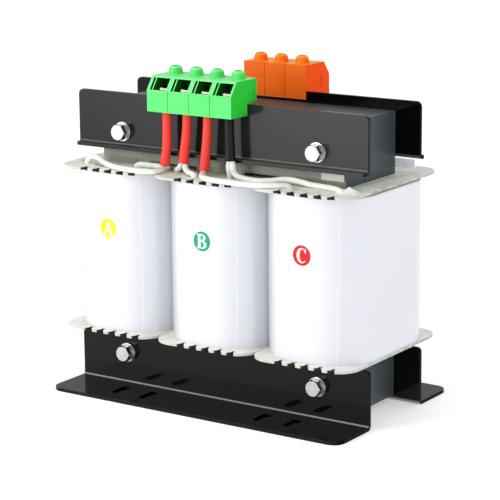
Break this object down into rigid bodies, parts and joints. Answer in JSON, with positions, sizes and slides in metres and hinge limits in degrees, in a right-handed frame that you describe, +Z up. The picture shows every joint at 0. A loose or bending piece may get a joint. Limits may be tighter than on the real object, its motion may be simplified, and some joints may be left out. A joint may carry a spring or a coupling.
{
  "type": "dry type transformer",
  "caption": "Open-frame three-phase dry type transformer: laminated core in folded clamps, film-wrapped coils on comb-edged bobbins, screw terminal blocks on top.",
  "frame": {"origin": "middle of the footprint on the mounting plane, under the core's centre", "axes": "+X along the clamps, +Y to the rear side with the orange terminal block, +Z up"},
  "size_m": [0.3004, 0.1864, 0.2944],
  "materials": {
    "lamination_steel": "stacked silicon steel sheets with a thin varnish",
    "clamp_steel": "gloss black paint on folded sheet",
    "zinc_steel": "bright zinc plate",
    "bobbin_plastic": "moulded ivory plastic, slightly translucent",
    "film_wrap": "glossy white insulating film",
    "winding_copper": "enamelled copper wire in layers",
    "pressboard": "smooth grey-green insulating board",
    "green_plastic": "bright green moulded plastic",
    "orange_plastic": "orange moulded plastic",
    "tinned_brass": "tinned contact metal",
    "red_sleeving": "red insulating sleeve",
    "black_sleeving": "black insulating sleeve",
    "lead_insulation": "pale glass-silk lead covering"
  },
  "bodies": {
    "root": {"barrier_a": "pressboard", "barrier_b": "pressboard", "barrier_c": "pressboard", "black_sleeve_4": "black_sleeving", "bobbin_a": "bobbin_plastic", "bobbin_b": "bobbin_plastic", "bobbin_c": "bobbin_plastic", "bolt_tubes": "pressboard", "coil_wrap_a": "film_wrap", "coil_wrap_b": "film_wrap", "coil_wrap_c": "film_wrap", "core_e_stack": "lamination_steel", "core_top_yoke": "lamination_steel", "flat_washers": "zinc_steel", "green_cages": "zinc_steel", "green_screws": "zinc_steel", "green_terminal_block": "green_plastic", "green_tongues": "tinned_brass", "hex_nuts": "zinc_steel", "inner_winding_a": "winding_copper", "inner_winding_b": "winding_copper", "inner_winding_c": "winding_copper", "lead_1a": "lead_insulation", "lead_1b": "lead_insulation", "lead_2a": "lead_insulation", "lead_2b": "lead_insulation", "lead_3": "lead_insulation", "lead_4a": "lead_insulation", "lead_4b": "lead_insulation", "lower_clamp_front": "clamp_steel", "lower_clamp_rear": "clamp_steel", "orange_cages": "zinc_steel", "orange_screws": "zinc_steel", "orange_terminal_block": "orange_plastic", "orange_tongues": "tinned_brass", "outer_winding_a": "winding_copper", "outer_winding_b": "winding_copper", "outer_winding_c": "winding_copper", "pressboard_lower_front": "pressboard", "pressboard_lower_rear": "pressboard", "pressboard_upper_front": "pressboard", "pressboard_upper_rear": "pressboard", "red_sleeve_1": "red_sleeving", "red_sleeve_2": "red_sleeving", "red_sleeve_3": "red_sleeving", "spring_washers": "zinc_steel", "through_bolts": "zinc_steel", "upper_clamp_front": "clamp_steel", "upper_clamp_rear": "clamp_steel"}
  },
  "joints": []
}
